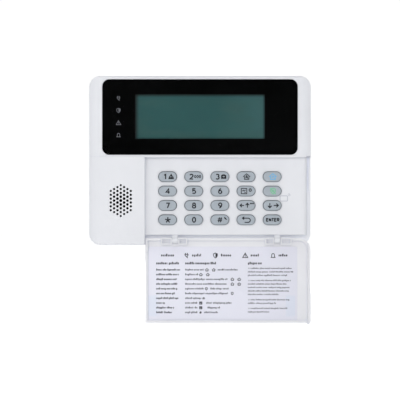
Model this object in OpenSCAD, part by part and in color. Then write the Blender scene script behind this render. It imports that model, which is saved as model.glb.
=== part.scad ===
// Wall-mounted alarm keypad panel with a flip-down cover over its keys.
// X runs right and Z up, as seen by a person facing the panel. The front faces -Y.
// The origin is the centre of the housing's outline, on the wall (y = 0).
// The cover is drawn hanging open, which is its rest position.

/* [Housing] */
// Width of the housing
body_w = 153; // [150:0.5:158]
// Height of the housing
body_h = 116.5; // [116:0.5:122]
// Distance from the wall to the front face
body_d = 24; // [24:0.25:26]
// Radius of the housing's four corners, seen from the front
corner_r = 7.8; // [6.5:0.1:9]
// Width of the rounded shoulder down each side of the front
shoulder_w = 8; // [6:0.5:9]
// Radius of the rounded shoulders
shoulder_r = 12; // [11:0.5:16]
// Radius of the front's top and bottom edges
edge_r = 1.4; // [0.8:0.1:1.8]
// Wall thickness of the front housing
front_wall = 2; // [1.8:0.1:2.2]
// Wall thickness of the rear housing
rear_wall = 2.6; // [2.5:0.1:2.8]
// Distance from the wall to the joint between the two housings
parting = 13; // [12.8:0.1:13]

/* [Display] */
// Width of the lens
lens_w = 134.5; // [130:0.5:136]
// Height of the lens
lens_h = 51.9; // [50:0.1:52.5]
// Radius of the lens's corners
lens_r = 4.8; // [3:0.1:6]
// Gap from the top of the housing to the top of the lens
lens_top_gap = 2.35; // [2.2:0.05:2.6]
// Thickness of the clear lens
lens_t = 1.85; // [1.6:0.05:2]
// How far the lens stands proud of the front face
lens_proud = 0.25; // [0.1:0.05:0.4]
// Width of the display window
window_w = 89.6; // [84:0.1:92]
// Height of the display window
window_h = 30.7; // [28:0.1:32]
// Distance from the lens's top edge down to the window's centre
window_drop = 25.55; // [25:0.05:26]

/* [Keys] */
// Width of a key
key_w = 12.6; // [12:0.1:13.6]
// Height of a key
key_h = 6.9; // [6.6:0.05:7.3]
// Distance between key columns
key_pitch_x = 18.07; // [17:0.01:18.2]
// Distance between key rows
key_pitch_z = 9.93; // [9.8:0.01:10.2]
// How far a key sinks when it is pressed
key_travel = 1.2; // [0.8:0.1:1.2]

/* [Cover] */
// Thickness of the cover
cover_t = 1.8; // [1.6:0.1:2]
// Angle of the cover: 0 hangs open, 180 is closed
cover_angle = 0; // [0:5:180]
// Radius of the cover's moulded pivots
pivot_r = 0.9; // [0.8:0.05:1]

/* [Sound] */
// Number of holes in the grille's middle column
grille_rows = 9; // [7:2:9]
// Radius of the hole at the grille's centre
grille_hole_r = 1.06; // [0.8:0.02:1.1]
// Radius of the holes at the grille's rim
grille_rim_hole_r = 0.74; // [0.5:0.01:0.8]

/* [Mounting] */
// Distance between the wall screws, sideways
wall_screw_x = 100; // [96:1:104]
// Distance between the wall screws, up and down
wall_screw_z = 60; // [56:1:62]
// Radius of a wall screw's hole
wall_screw_r = 2.25; // [2:0.05:2.4]

/* [Hidden] */
$fn = 64;

big = 400;
slack = 0.01;
// Rounded edges meet their faces at a faint crease of about this depth
crease = 0.03;

// Planes, as Y positions. The front is negative.
front_y = -body_d;
parting_y = -parting;
floor_y = front_y + 5.5;
floor_t = 1.8;
floor_back_y = floor_y + floor_t;
lens_front_y = front_y - lens_proud;
mask_t = 0.2;
mask_y = lens_front_y + lens_t;
tray_y = mask_y + mask_t;
tray_t = 1.5;
tray_back_y = tray_y + tray_t;
board_y = -13.5;
board_t = 1.6;
board_back_y = board_y + board_t;
rear_floor_y = -4.7;
rear_floor_t = 2;
ledge_t = 1.6;
plate_front_y = -2.5;
rim_back_y = -0.4;
spigot = 0.8;

// Display
lens_top_z = body_h / 2 - lens_top_gap;
lens_z = lens_top_z - lens_h / 2;
window_z = lens_top_z - window_drop;
glass_w = window_w + 6.4;
glass_h = window_h + 5.6;
glass_y = tray_y + 1;
glass_t = 2;
backlight_back_y = glass_y + glass_t + 2.8;
frame_w = glass_w + 6;
frame_h = glass_h + 5.2;
frame_y = tray_back_y + 0.1;
ribbon_w = 32;
ribbon_z = window_z - glass_h / 2 + 0.4;
indicator_x = -lens_w / 2 + 11.05;
indicator_z = [43, 34.5, 26.2, 17.6];
indicator_hole_r = 2.6;
led_t = 0.9;

// Key bay, a step down in the lower right of the front
bay_left_x = -body_w / 2 + 38.4;
bay_top_z = -body_h / 2 + 60.45;
bay_right_x = body_w / 2 - 2.7;
bay_bottom_z = -body_h / 2 + 6.75;
bay_wall = 1.8;
bay_roll_r = 2.6;
block_wall = 1.8;
key_x0 = bay_left_x + 15.7;
key_z0 = bay_top_z - 13.3;
key_front_y = floor_y - 1.6;
key_gap = 0.25;
flange_y = floor_back_y + 0.3;
flange_t = 0.8;
flange_grow = 1.8;
plunger_r = 1.6;
plunger_end_y = board_y - 0.1 - key_travel;
mat_y = board_y - 0.85;
mat_t = 0.8;
mat_opening_r = 2.4;
seam_z = bay_top_z + 0.6;
seam_w = 0.3;
seam_depth = 0.1;

// Cover and hinge. Cover sizes are those of the closed cover.
hinge_y = front_y + 5;
hinge_z = bay_bottom_z - 3.6;
cover_left_x = bay_left_x + 0.25;
cover_right_x = body_w / 2 - 0.4;
cover_corner_r = 8;
cover_top_z = bay_top_z - 0.12;
cover_bottom_z = hinge_z - 1.6;
cover_rim_h = 1.2;
cover_rim_w = 1.6;
cover_wall_back_y = parting_y - 0.5;
end_wall_back_y = front_y + 4.6;
hinge_mid_x = (bay_left_x + bay_right_x) / 2 + 0.25;
hinge_offset = 35.35;
ear_w = 3.85;
ear_r = 1.9;
pivot_clear = 0.05;
knuckle_high = 3;
knuckle_back = 1.5;
knuckle_w_outer = 7.6;
knuckle_w_inner = 6.2;
knuckle_gap = 0.3;
deep_wall_x = bay_right_x + 0.4;
finger_bottom_z = bay_top_z - 23.6;
finger_depth = 2.5;
lip_y = front_y + 3.2;
lip_h = 20.4;
lip_t = 1.2;
tab_top_z = bay_top_z - 7.4;
tab_bottom_z = bay_top_z - 22.9;
tab_h = 2.4;
tab_w = 1.3;
nub_h = 0.6;
nub_w = 1.9;
nub_x = cover_right_x - 2.4;
label_t = 0.15;
label_gap = 2.2;

// Speaker
speaker_x = -body_w / 2 + 21.9;
speaker_z = -body_h / 2 + 30.65;
speaker_r = 14.2;
grille_pitch_x = 2.295;
grille_pitch_z = 2.65;
grille_reach = 11;

// Screws: [x, z] places
housing_screw_at = [[-67, 49.5], [67, 49.5], [-67, -46], [67.3, -45.4]];
board_screw_at = [[-65, 8], [65, 8], [-34.6, -45.4], [-34.6, -7], [60.6, -45.8]];
housing_boss_r = 2.8;
board_boss_r = 2.2;
screw_r = 1.05;
screw_clear_r = screw_r + 0.2;
pilot_r = 1.1;
slot_w = 0.6;
housing_boss_end_y = -9;
housing_head_y = -5.2;
housing_tip_y = -16;
board_tip_y = -17.2;
screw_head_r = 2;

// Back of the panel
plate_w = body_w - 2 * rear_wall - 1;
plate_h = body_h - 2 * rear_wall - 1;
entry_w = 48;
entry_h = 32;
hook_at = [[-58, -38], [58, -38], [-58, 33], [58, 33]];
hook_w = 6;
hook_neck_h = 2;
hook_h = 5;
hook_front_y = -6.3;
hook_back_y = -5;
lock_y = -7;
lock_z = -body_h / 2;
lock_head_r = 2.6;
lock_head_t = 1.3;
lock_tab_z = lock_z + 6;
lock_tab_w = 9;
lock_tab_t = 3;
way = 5.08;
terminal_h = 8;
terminal_back_y = -3.4;
terminal_well_r = 1.7;
tamper_x = 38;
tamper_z = 4;
tamper_r = 1.4;
tamper_bore_r = 2.2;
tamper_body_y = -5;
tamper_seat_y = -11.2;
tamper_collar_y = -9.2;

white = [0.89, 0.9, 0.92];
board_green = [0.1, 0.35, 0.2];
steel = [0.75, 0.76, 0.78];
black = [0.05, 0.05, 0.06];

// ---- Drawing aids ----

// Turns a drawing of X and Z into a slab from y_front back to y_back
module slab(y_front, y_back) {
    translate([0, y_back, 0])
        rotate([90, 0, 0])
            linear_extrude(y_back - y_front)
                children();
}

// Turns a drawing of Y and Z into a bar from x_left to x_right
module bar(x_left, x_right) {
    translate([x_left, 0, 0])
        rotate([90, 0, 90])
            linear_extrude(x_right - x_left)
                children();
}

// Round post along Y, from y_front back to y_back
module post(r, y_front, y_back) {
    translate([0, y_back, 0])
        rotate([90, 0, 0])
            cylinder(r = r, h = y_back - y_front);
}

// Box from its lowest corner to its highest
module box(low, high) {
    translate(low)
        cube(high - low);
}

// Rectangle with four round corners, centred
module rounded_rect(w, h, r) {
    square([w - 2 * r, h], center = true);
    square([w, h - 2 * r], center = true);
    for (sx = [-1, 1], sz = [-1, 1])
        translate([sx * (w / 2 - r), sz * (h / 2 - r)])
            circle(r);
}

// Flat-sided oval
module stadium(w, h) {
    square([w - h, h], center = true);
    for (sx = [-1, 1])
        translate([sx * (w - h) / 2, 0])
            circle(h / 2);
}

// Rectangle from low to high, with its low-x or high-x front corner (lowest y) rounded
module front_rounded(low, high, r, side) {
    round_x = side > 0 ? high.x - r : low.x + r;
    translate([low.x + (side > 0 ? 0 : r), low.y])
        square([high.x - low.x - r, high.y - low.y]);
    translate([low.x, low.y + r])
        square([high.x - low.x, high.y - low.y - r]);
    translate([round_x, low.y + r])
        circle(r);
}

// Housing seen from above: a flat front with a rounded shoulder on each side.
// It runs past the housing's sides, which envelope() cuts.
module plan_profile(inset) {
    flat = body_w / 2 - shoulder_w;
    reach = body_w / 2 + 1;
    translate([-flat, front_y + inset])
        square([2 * flat, body_d]);
    for (sx = [-1, 1])
        translate([sx * flat, front_y + shoulder_r])
            circle(shoulder_r - inset);
    translate([-reach, front_y + shoulder_r])
        square([2 * reach, body_d]);
}

// Housing seen from the side, drawn as Y and Z, with its front edges rounded.
// It runs past the front, top and bottom, which envelope() cuts.
module side_profile(inset) {
    r = max(edge_r - inset, 0.2);
    round_y = front_y + inset + r - crease;
    round_z = body_h / 2 - inset - r + crease;
    translate([front_y - 1, -round_z])
        square([body_d + 2, 2 * round_z]);
    for (sz = [-1, 1])
        translate([round_y, sz * round_z])
            circle(r);
    translate([round_y, -body_h])
        square([body_d + 2, 2 * body_h]);
}

// Solid form of the whole housing, drawn in by inset on every side but the back
module envelope(inset) {
    intersection() {
        slab(front_y - 1, 0)
            rounded_rect(body_w - 2 * inset, body_h - 2 * inset, corner_r - inset);
        linear_extrude(2 * body_h, center = true)
            plan_profile(inset);
        bar(-body_w, body_w)
            side_profile(inset);
    }
}

// Drawing of everything but the key bay, which is widened by grow
module around_bay(grow) {
    difference() {
        square(big, center = true);
        translate([bay_left_x - grow, -big])
            square([big, big + bay_top_z + grow]);
    }
}

module at_keys() {
    for (col = [0:4], row = [0:3])
        at_key(col, row)
            children();
}

module at_key(col, row) {
    translate([key_x0 + col * key_pitch_x, 0, key_z0 - row * key_pitch_z])
        children();
}

module at_places(places) {
    for (p = places)
        translate([p.x, 0, p.y])
            children();
}

// Slotted screw along Y, its head at the back
module screw(r, head_r, tip_y, head_y, head_t) {
    difference() {
        union() {
            post(r, tip_y, head_y + slack);
            post(head_r, head_y, head_y + head_t);
        }
        box([-head_r, head_y + head_t * 0.55, -slot_w / 2], [head_r, head_y + head_t + 1, slot_w / 2]);
    }
}

// ---- Housings and wall plate ----

module wall_plate() {
    color("gainsboro")
    difference() {
        union() {
            slab(plate_front_y, 0)
                rounded_rect(plate_w, plate_h, corner_r - rear_wall - 0.5);
            at_places(hook_at) {
                box([-hook_w / 2, hook_front_y, 0], [hook_w / 2, plate_front_y + slack, hook_neck_h]);
                box([-hook_w / 2, hook_front_y, 0], [hook_w / 2, hook_back_y, hook_h]);
            }
            // Tab that the lock screw goes into
            box([-lock_tab_w / 2, lock_y - 3, lock_tab_z],
                [lock_tab_w / 2, plate_front_y + slack, lock_tab_z + lock_tab_t]);
        }
        slab(-3, 1)
            rounded_rect(entry_w, entry_h, 3);
        for (sx = [-1, 1], sz = [-1, 1])
            translate([sx * wall_screw_x / 2, 0, sz * wall_screw_z / 2])
                post(wall_screw_r, -3, 1);
        translate([tamper_x, 0, tamper_z])
            post(tamper_r + 0.4, -3, 1);
        translate([0, lock_y, lock_tab_z - 1])
            cylinder(r = pilot_r, h = lock_tab_t + 2);
    }
}

module rear_housing() {
    groove = 0.4;
    inner_w = body_w - 2 * rear_wall;
    inner_h = body_h - 2 * rear_wall;
    color(white)
    difference() {
        union() {
            intersection() {
                envelope(0);
                slab(parting_y + groove, rim_back_y)
                    square(big, center = true);
            }
            intersection() {
                envelope(groove);
                slab(parting_y, parting_y + 1)
                    square(big, center = true);
            }
            box([body_w / 2 - tab_w, parting_y - tab_h, tab_bottom_z],
                [body_w / 2, parting_y + 1, tab_top_z]);
        }
        difference() {
            slab(parting_y - 1, rear_floor_y)
                rounded_rect(inner_w, inner_h, corner_r - rear_wall);
            at_places(housing_screw_at)
                post(housing_boss_r, housing_boss_end_y, 0);
            // Ledge that closes the housing below the key bay
            box([bay_left_x - 1, parting_y - 2, lock_z], [body_w / 2, parting_y + ledge_t, bay_bottom_z - 0.1]);
        }
        slab(rear_floor_y + rear_floor_t, 1)
            rounded_rect(inner_w, inner_h, corner_r - rear_wall);
        slab(rear_floor_y - 1, 0)
            rounded_rect(entry_w - 4, entry_h - 4, 2);
        at_places(housing_screw_at) {
            post(screw_clear_r, housing_boss_end_y - 1, 0);
            post(screw_head_r + 0.3, housing_head_y, 0);
        }
        // Slots that the hooks drop into, then the lock tab's opening and its screw's hole
        at_places(hook_at)
            box([-hook_w / 2 - 0.5, rear_floor_y - 0.3, hook_neck_h - hook_h - 0.2],
                [hook_w / 2 + 0.5, 0, hook_neck_h + 0.2]);
        box([-lock_tab_w / 2 - 1, rear_floor_y - 0.3, lock_tab_z - 0.8],
            [lock_tab_w / 2 + 1, 0, lock_tab_z + lock_tab_t + 1.2]);
        translate([0, lock_y, lock_z - 1])
            cylinder(r = screw_clear_r, h = 6);
        translate([0, lock_y, lock_z - 1])
            cylinder(r = lock_head_r + 0.3, h = 2.5);
        translate([tamper_x, 0, tamper_z])
            post(tamper_r + 0.2, -6, 0);
        // Pocket in the ledge beside the latch
        box([body_w / 2 - 2.1, parting_y - 0.5, bay_top_z - 6.7],
            [body_w / 2 - 1, parting_y + 0.8, bay_top_z - 0.1]);
    }
}

// Outer form of the key bay: its floor, and the walls that go back from it
module bay_block() {
    back_y = parting_y + spigot;
    intersection() {
        linear_extrude(big, center = true)
            front_rounded([bay_left_x - 1, floor_y], [bay_right_x, back_y], bay_roll_r, 1);
        bar(-big, big)
            mirror([1, -1, 0])
                front_rounded([bay_bottom_z, floor_y], [bay_top_z + 1, back_y], 0.8, -1);
    }
}

module hinge_ear() {
    difference() {
        bar(-ear_w / 2, ear_w / 2) {
            translate([hinge_y, hinge_z])
                circle(ear_r);
            polygon([
                [hinge_y - ear_r, hinge_z],
                [hinge_y + ear_r, hinge_z],
                [parting_y - 1, bay_bottom_z + 0.8],
                [floor_y + 0.9, bay_bottom_z + 0.8]
            ]);
        }
        translate([-ear_w, hinge_y, hinge_z])
            rotate([0, 90, 0])
                cylinder(r = pivot_r + pivot_clear, h = 2 * ear_w);
    }
}

module grille_holes() {
    half = (grille_rows - 1) / 2 - 1;
    for (col = [-half:half]) {
        rows = grille_rows - abs(col);
        for (row = [0:rows - 1]) {
            x = col * grille_pitch_x;
            z = (row - (rows - 1) / 2) * grille_pitch_z;
            reach = norm([x, z]) / grille_reach;
            translate([x, 0, z])
                post(grille_hole_r + (grille_rim_hole_r - grille_hole_r) * reach, front_y - 1, front_y + 4);
        }
    }
}

// Shell of the front housing before its bosses and openings
module front_shell() {
    difference() {
        union() {
            intersection() {
                envelope(0);
                slab(front_y - 1, parting_y)
                    around_bay(0);
            }
            bay_block();
        }
        intersection() {
            envelope(front_wall);
            slab(front_y, 0)
                around_bay(block_wall);
        }
        box([bay_left_x - 3, floor_back_y, bay_bottom_z + bay_wall],
            [bay_right_x - bay_wall, 0, bay_top_z + 3]);
    }
}

module front_housing() {
    color(white)
    difference() {
        union() {
            front_shell();
            // Tray that the lens and the display sit in
            intersection() {
                envelope(front_wall / 2);
                slab(front_y + 1, tray_back_y)
                    translate([-big / 2, bay_top_z + 0.1])
                        square([big, big]);
            }
            for (side = [-1, 1])
                translate([hinge_mid_x + side * hinge_offset, 0, 0])
                    hinge_ear();
            // Collar around the speaker
            translate([speaker_x, 0, speaker_z])
                difference() {
                    post(speaker_r + 1.2, front_y + 1, front_y + 5);
                    post(speaker_r + 0.1, front_y + front_wall, front_y + 6);
                }
            for (i = [0:3])
                at_places([housing_screw_at[i]])
                    post(housing_boss_r, i == 3 ? floor_y + 1 : front_y + 1, housing_boss_end_y);
            for (i = [0:4])
                at_places([board_screw_at[i]])
                    post(board_boss_r, i < 2 ? tray_y + 0.5 : floor_y + 1, board_y);
        }
        // Pocket for the lens, and the openings behind it
        translate([0, 0, lens_z])
            slab(front_y - 1, tray_y)
                rounded_rect(lens_w + 0.3, lens_h + 0.3, lens_r + 0.15);
        translate([0, 0, window_z])
            slab(front_y, tray_back_y + 1)
                rounded_rect(glass_w + 0.6, glass_h + 0.6, 0.5);
        for (z = indicator_z)
            translate([indicator_x, 0, z])
                post(indicator_hole_r, front_y, tray_back_y + 1);
        translate([speaker_x, 0, speaker_z])
            grille_holes();
        at_keys()
            slab(floor_y - 1, floor_back_y + 1)
                stadium(key_w + 2 * key_gap, key_h + 2 * key_gap);
        at_places(housing_screw_at)
            post(pilot_r, housing_tip_y - 0.4, housing_boss_end_y + 1);
        at_places(board_screw_at)
            post(pilot_r, board_tip_y - 0.2, board_y + 1);
        // Fine seam between the display's surround and the front's lower part
        difference() {
            box([-body_w, front_y - 1, seam_z - seam_w / 2],
                [bay_left_x, parting_y - 1, seam_z + seam_w / 2]);
            envelope(seam_depth);
        }
        // Groove that the cover's latch nub closes into
        box([nub_x - 0.4, front_y - 1, bay_top_z - 0.5],
            [nub_x + nub_w + 0.4, parting_y - 1.5, bay_top_z + 0.9]);
    }
}

// ---- Display ----

module display_lens() {
    color([0.6, 0.62, 0.65, 0.4])
    translate([0, 0, lens_z])
        slab(lens_front_y, mask_y)
            rounded_rect(lens_w, lens_h, lens_r);
}

module lens_mask() {
    color(black)
    slab(mask_y, tray_y)
        difference() {
            translate([0, lens_z])
                rounded_rect(lens_w, lens_h, lens_r);
            translate([0, window_z])
                rounded_rect(window_w, window_h, 0.3);
        }
}

module lcd_gasket() {
    color("dimgray")
    translate([0, 0, window_z])
        slab(tray_y, glass_y)
            difference() {
                square([glass_w, glass_h], center = true);
                square([window_w + 1, window_h + 1], center = true);
            }
}

module lcd_glass() {
    color([0.2, 0.34, 0.34])
    translate([0, 0, window_z])
        slab(glass_y, glass_y + glass_t)
            square([glass_w, glass_h], center = true);
}

// The ribbon leaves the glass below the backlight and passes through a slot in the frame
module lcd_backlight() {
    color("honeydew")
    translate([0, 0, window_z])
        slab(glass_y + glass_t, backlight_back_y)
            square([glass_w - 1, glass_h - 3], center = true);
}

module lcd_frame() {
    foot = 4;
    color("whitesmoke")
    translate([0, 0, window_z])
        difference() {
            union() {
                slab(frame_y, backlight_back_y + 1)
                    square([frame_w, frame_h], center = true);
                for (sx = [-1, 1], sz = [-1, 1])
                    translate([sx * (frame_w - foot) / 2, 0, sz * (frame_h - foot) / 2])
                        slab(backlight_back_y, board_y)
                            square(foot, center = true);
            }
            slab(frame_y - 1, backlight_back_y)
                square([glass_w + 0.5, glass_h + 0.5], center = true);
            translate([0, 0, ribbon_z - window_z])
                slab(backlight_back_y - 1, backlight_back_y + 2)
                    square([ribbon_w + 2, 1.4], center = true);
        }
}

module lcd_ribbon() {
    color("darkorange")
    translate([0, 0, ribbon_z])
        slab(glass_y + glass_t, board_y)
            square([ribbon_w, 0.2], center = true);
}

// Four light pipes joined by a web behind the tray
module indicator_light_guide() {
    web_y = tray_back_y + 0.3;
    web_w = 2.4;
    web_t = 1.5;
    color([0.85, 0.9, 0.92, 0.6])
    translate([indicator_x, 0, 0]) {
        for (z = indicator_z)
            translate([0, 0, z])
                post(indicator_hole_r - 0.4, tray_y + 0.1, board_y - led_t - 0.4);
        box([-web_w / 2, web_y, indicator_z[3]], [web_w / 2, web_y + web_t, indicator_z[0]]);
    }
}

module indicator_leds() {
    color("palegoldenrod")
    for (z = indicator_z)
        translate([indicator_x, 0, z])
            slab(board_y - led_t, board_y)
                square([2, 1.2], center = true);
}

// ---- Board and keypad ----

// Board with a square notch at each corner for a housing boss
module main_board() {
    side_x = body_w / 2 - 6.5;
    top_z = body_h / 2 - 5.75;
    bottom_z = bay_bottom_z + bay_wall + 1;
    notch = 2 * housing_boss_r + 1;
    color(board_green)
    slab(board_y, board_back_y)
        difference() {
            translate([-side_x, bottom_z])
                square([2 * side_x, top_z - bottom_z]);
            for (p = housing_screw_at)
                translate([p.x + sign(p.x) * notch / 2, p.y + sign(p.y) * notch / 2])
                    square(2 * notch, center = true);
            for (p = board_screw_at)
                translate(p)
                    circle(screw_clear_r);
        }
}

module board_components() {
    color([0.12, 0.12, 0.13])
    {
        // Processor, reader chip, memory and connector
        box([-34, board_back_y, 22], [-24, board_back_y + 1.4, 32]);
        box([56, board_back_y, -24], [63, board_back_y + 1.2, -17]);
        box([24, board_back_y, 26], [30, board_back_y + 1.5, 31]);
        box([-6, board_back_y, 30], [10, board_back_y + 4.5, 35]);
        // Capacitors
        for (z = [20, 29])
            translate([-50, 0, z])
                post(3.2, board_back_y, board_back_y + 6);
        // Coils
        for (x = [-46, -38])
            translate([x, 0, -20])
                slab(board_back_y, board_back_y + 3)
                    rounded_rect(6, 6, 1);
    }
}

// Soft mat behind the keys, open where each key's plunger reaches the board
module keypad_mat() {
    color([0.75, 0.78, 0.82])
    difference() {
        translate([key_x0 + 2 * key_pitch_x, 0, key_z0 - 1.5 * key_pitch_z])
            slab(mat_y, mat_y + mat_t)
                rounded_rect(4 * key_pitch_x + 16, 3 * key_pitch_z + 11, 2);
        at_keys()
            post(mat_opening_r, mat_y - 1, board_y);
    }
}

// Card reader's flat winding and its two legs
module reader_coil() {
    coil_w = 11.8;
    coil_h = 38;
    coil_t = 1.2;
    winding_w = 1.8;
    leg_x = 1.5;
    leg_w = 0.6;
    coil_y = floor_back_y + 0.1;
    color("peru")
    translate([bay_right_x - 9, 0, bay_top_z - 24.2]) {
        slab(coil_y, coil_y + coil_t)
            difference() {
                rounded_rect(coil_w, coil_h, 2.5);
                rounded_rect(coil_w - 2 * winding_w, coil_h - 2 * winding_w, 1);
            }
        for (sx = [-1, 1])
            translate([sx * leg_x - leg_w / 2, 0, (coil_h - winding_w) / 2 - leg_w / 2])
                box([0, coil_y + 0.5, 0], [leg_w, board_y, leg_w]);
    }
}

// Key cap in its column and row, with the flange that keeps it in and the plunger behind
module key(col, row) {
    color([0.64, 0.68, 0.72])
    at_key(col, row) {
        slab(key_front_y, flange_y + slack)
            stadium(key_w, key_h);
        slab(flange_y, flange_y + flange_t)
            stadium(key_w + flange_grow, key_h + flange_grow);
        post(plunger_r, flange_y + flange_t - slack, plunger_end_y);
    }
}

module key_1() { key(0, 0); }
module key_2() { key(1, 0); }
module key_3() { key(2, 0); }
module key_stay_arm() { key(3, 0); }
module key_away_arm() { key(4, 0); }
module key_4() { key(0, 1); }
module key_5() { key(1, 1); }
module key_6() { key(2, 1); }
module key_bypass() { key(3, 1); }
module key_disarm() { key(4, 1); }
module key_7() { key(0, 2); }
module key_8() { key(1, 2); }
module key_9() { key(2, 2); }
module key_left_up() { key(3, 2); }
module key_down_right() { key(4, 2); }
module key_star() { key(0, 3); }
module key_0() { key(1, 3); }
module key_hash() { key(2, 3); }
module key_back() { key(3, 3); }
module key_enter() { key(4, 3); }

// ---- Cover ----

// Turns what is drawn closed to the cover's angle
module on_hinge() {
    translate([0, hinge_y, hinge_z])
        rotate([180 - cover_angle, 0, 0])
            translate([0, -hinge_y, -hinge_z])
                children();
}

// Knuckle between x_left and x_right, with a hollow in its back and a pivot towards the ear.
// inner_side is 1 where the ear is at its right, and -1 where it's at its left.
module knuckle(x_left, x_right, inner_side) {
    back_y = hinge_y + knuckle_back;
    low_z = hinge_z - ear_r;
    high_z = hinge_z + knuckle_high;
    wall = 0.9;
    pivot_reach = 1.4;
    inner_x = inner_side > 0 ? x_right : x_left;
    difference() {
        box([x_left, front_y + 1, low_z], [x_right, back_y, high_z]);
        box([x_left + wall, hinge_y - 1.4, low_z + wall], [x_right - wall, back_y + 1, high_z - wall]);
    }
    translate([inner_x - inner_side * wall, hinge_y, hinge_z])
        rotate([0, inner_side * 90, 0])
            cylinder(r = pivot_r, h = wall + knuckle_gap + pivot_reach);
}

module hinge_knuckles(side) {
    ear_x = hinge_mid_x + side * hinge_offset;
    reach = ear_w / 2 + knuckle_gap;
    outer_w = side < 0 ? knuckle_w_outer : knuckle_w_inner;
    inner_w = side < 0 ? knuckle_w_inner : knuckle_w_outer;
    knuckle(ear_x - reach - outer_w, ear_x - reach, 1);
    knuckle(ear_x + reach, ear_x + reach + inner_w, -1);
}

// Drawing of the closed cover, with the round corner beside the hinge
module cover_outline(inset) {
    front_rounded([cover_left_x + inset, cover_bottom_z + inset],
        [cover_right_x - inset, cover_top_z - inset], cover_corner_r - inset, 1);
}

module cover_shell() {
    rim_back_y = front_y + cover_t + cover_rim_h;
    intersection() {
        envelope(0);
        slab(front_y - 1, cover_wall_back_y)
            cover_outline(0);
        union() {
            // Skin, and the deep wall down the right side
            difference() {
                box([cover_left_x, front_y - 1, cover_bottom_z], [body_w, 0, cover_top_z]);
                envelope(cover_t);
                box([-body_w, front_y + cover_t, -body_h], [deep_wall_x, 0, body_h]);
            }
            // Wall along the hinge edge and round the corner
            slab(front_y, end_wall_back_y)
                difference() {
                    cover_outline(0);
                    cover_outline(cover_t);
                    translate([-big / 2, cover_bottom_z + 1.2 * cover_corner_r])
                        square(big);
                }
            // Low rims along the other two edges
            box([cover_left_x, front_y, cover_bottom_z],
                [cover_left_x + cover_rim_w, rim_back_y, cover_top_z]);
            box([cover_left_x, front_y, cover_top_z - cover_rim_w],
                [deep_wall_x + 1, rim_back_y, cover_top_z]);
        }
    }
}

module cover_flap() {
    color(white)
    on_hinge() {
        difference() {
            cover_shell();
            for (side = [-1, 1])
                translate([hinge_mid_x + side * hinge_offset, 0, 0])
                    box([-ear_w / 2 - 0.4, front_y - 1, cover_bottom_z - 1],
                        [ear_w / 2 + 0.4, 0, hinge_z + 0.8]);
            // Finger relief in the deep wall
            box([deep_wall_x - 1, cover_wall_back_y - finger_depth, finger_bottom_z], [body_w, 0, body_h]);
        }
        for (side = [-1, 1])
            hinge_knuckles(side);
        // Finger lip
        box([cover_right_x - 0.5, lip_y, cover_top_z - lip_h - 0.6],
            [body_w / 2, lip_y + lip_t, cover_top_z - 0.6]);
        // Latch nub
        box([nub_x, hinge_y - 0.5, cover_top_z - 1], [nub_x + nub_w, hinge_y + 2, cover_top_z + nub_h]);
    }
}

module cover_label() {
    label_y = front_y + cover_t;
    color([0.9, 0.9, 0.95])
    on_hinge()
        box([cover_left_x + label_gap, label_y, hinge_z + 2 * label_gap],
            [cover_right_x - 4 * label_gap, label_y + label_t, cover_top_z - label_gap]);
}

// ---- Sounder ----

module at_speaker() {
    translate([speaker_x, 0, speaker_z])
        children();
}

// Turned part: an outline of radius and distance behind the front face, spun about the speaker's axis
module turned() {
    at_speaker()
        translate([0, front_y, 0])
            rotate([-90, 0, 0])
                rotate_extrude()
                    children();
}

module grille_cloth() {
    color("black")
    at_speaker()
        post(12.4, front_y + front_wall, front_y + front_wall + 0.2);
}

// Foam ring that seals the speaker against the front
module speaker_gasket() {
    gasket_y = front_y + front_wall;
    color("dimgray")
    at_speaker()
        difference() {
            post(speaker_r - 0.1, gasket_y, gasket_y + 0.8);
            post(12.6, gasket_y - 1, gasket_y + 1);
        }
}

module speaker_frame() {
    color("slategray")
    turned()
        polygon([[12.3, 2.8], [speaker_r - 0.1, 2.8], [speaker_r - 0.1, 3.8], [13.1, 3.8],
            [13.1, 6.2], [8.6, 7.2], [8.6, 6.6], [12.3, 5.6]]);
}

// Cone with its coil former, and the dust cap over the middle
module speaker_cone() {
    color([0.2, 0.2, 0.22])
    turned() {
        polygon([[3.4, 4.6], [11.9, 3.5], [11.9, 3.8], [3.7, 4.9], [3.7, 8.2], [3.4, 8.2]]);
        polygon([[0, 4], [2, 4.15], [3.4, 4.6], [3.4, 4.9], [2, 4.45], [0, 4.3]]);
    }
}

// Ring magnet and yoke, with the pole inside the cone's coil
module speaker_magnet() {
    color(steel)
    turned()
        polygon([[4.1, 6.6], [8.6, 6.6], [8.6, 9.8], [0, 9.8], [0, 5.6], [3, 5.6], [3, 8.8], [4.1, 8.8]]);
}

// Two wires from the speaker's rim that turn up to a plug on the board
module speaker_lead() {
    wire_r = 0.5;
    turn_z = speaker_z + 12;
    run_h = 5;
    start_y = front_y + 6.6;
    run_y = board_y - 2;
    plug_w = 6;
    plug_z = turn_z + 3.5;
    color("firebrick")
    for (sx = [-1, 1])
        translate([speaker_x + sx * 3 * wire_r, run_y, turn_z]) {
            rotate([90, 0, 0])
                cylinder(r = wire_r, h = run_y - start_y);
            sphere(wire_r);
            cylinder(r = wire_r, h = run_h);
        }
    color("ivory")
    box([speaker_x - plug_w / 2, run_y - 1, plug_z], [speaker_x + plug_w / 2, board_y, plug_z + 3.5]);
}

// ---- Tamper switch, terminals and screws ----

module at_tamper() {
    translate([tamper_x, 0, tamper_z])
        children();
}

module tamper_switch() {
    color([0.15, 0.15, 0.17])
    at_tamper()
        difference() {
            slab(board_back_y, tamper_body_y)
                square(7, center = true);
            post(tamper_bore_r, tamper_seat_y, tamper_body_y - 0.6);
            post(tamper_r + 0.1, tamper_seat_y, tamper_body_y + 1);
        }
}

module tamper_plunger() {
    color("white")
    at_tamper() {
        post(0.6, tamper_seat_y + 0.4, tamper_collar_y + slack);
        post(tamper_bore_r - 0.2, tamper_collar_y, tamper_collar_y + 1);
        post(tamper_r, tamper_collar_y + 1 - slack, 0);
    }
}

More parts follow.
